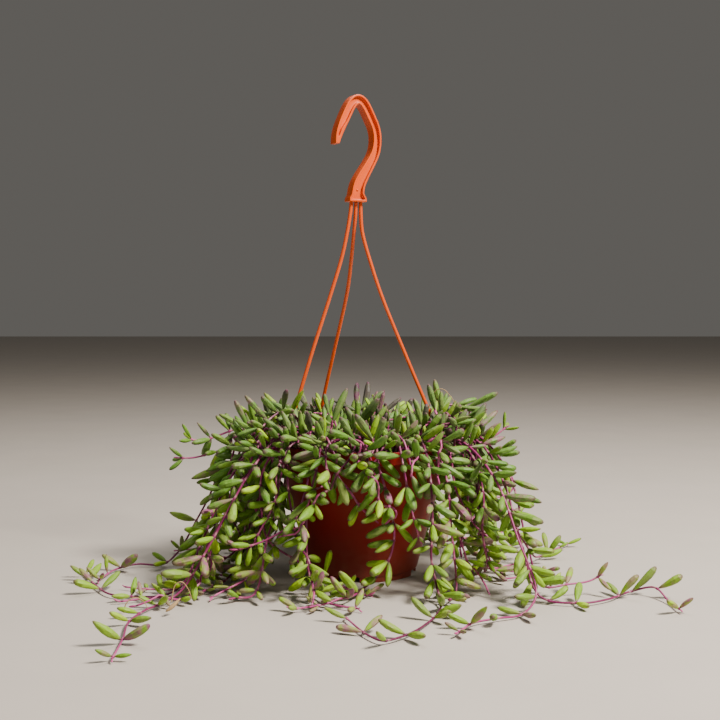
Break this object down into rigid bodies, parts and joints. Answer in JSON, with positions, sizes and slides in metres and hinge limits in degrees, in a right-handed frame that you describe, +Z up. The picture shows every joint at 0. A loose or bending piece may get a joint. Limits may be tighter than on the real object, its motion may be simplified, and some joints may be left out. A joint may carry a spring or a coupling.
{
  "type": "potted trailing succulent in a hanging pot",
  "caption": "Bushy trailing succulent with spindle leaves in a tapered plastic hanging pot, with a moulded hook on thin strands.",
  "frame": {"origin": "centre of the object's footprint at table height, on the pot's axis to within a few millimetres", "axes": "+Z up, -Y towards the viewer of the picture, +X to the viewer's right"},
  "size_m": [0.487, 0.5196, 0.4013],
  "materials": {
    "pot_plastic": "satin",
    "hanger_plastic": "satin",
    "soil_mix": "matte",
    "foliage": "satin"
  },
  "bodies": {
    "root": {"hanger_hook": "hanger_plastic", "hanger_strand_back": "hanger_plastic", "hanger_strand_left": "hanger_plastic", "hanger_strand_right": "hanger_plastic", "pot": "pot_plastic", "soil": "soil_mix", "stem_back_long_left": "foliage", "stem_back_long_right": "foliage", "stem_crown_01": "foliage", "stem_crown_02": "foliage", "stem_crown_03": "foliage", "stem_crown_04": "foliage", "stem_crown_05": "foliage", "stem_crown_06": "foliage", "stem_crown_07": "foliage", "stem_crown_08": "foliage", "stem_crown_09": "foliage", "stem_crown_10": "foliage", "stem_crown_11": "foliage", "stem_crown_12": "foliage", "stem_crown_13": "foliage", "stem_crown_14": "foliage", "stem_front_crossing": "foliage", "stem_front_left": "foliage", "stem_front_middle": "foliage", "stem_front_right": "foliage", "stem_front_short": "foliage", "stem_left_arch": "foliage", "stem_left_front": "foliage", "stem_left_inner": "foliage", "stem_left_long": "foliage", "stem_left_outer": "foliage", "stem_left_short": "foliage", "stem_left_shoulder": "foliage", "stem_left_sweep": "foliage", "stem_right_arch": "foliage", "stem_right_back": "foliage", "stem_right_front": "foliage", "stem_right_hanging": "foliage", "stem_right_long": "foliage", "stem_right_loop": "foliage", "stem_right_raised": "foliage", "stem_trail_01": "foliage", "stem_trail_02": "foliage", "stem_trail_03": "foliage", "stem_trail_04": "foliage", "stem_trail_05": "foliage", "stem_trail_06": "foliage", "stem_trail_07": "foliage", "stem_trail_08": "foliage", "stem_trail_09": "foliage", "stem_trail_10": "foliage", "stem_trail_11": "foliage", "stem_trail_12": "foliage", "stem_trail_13": "foliage"}
  },
  "joints": []
}
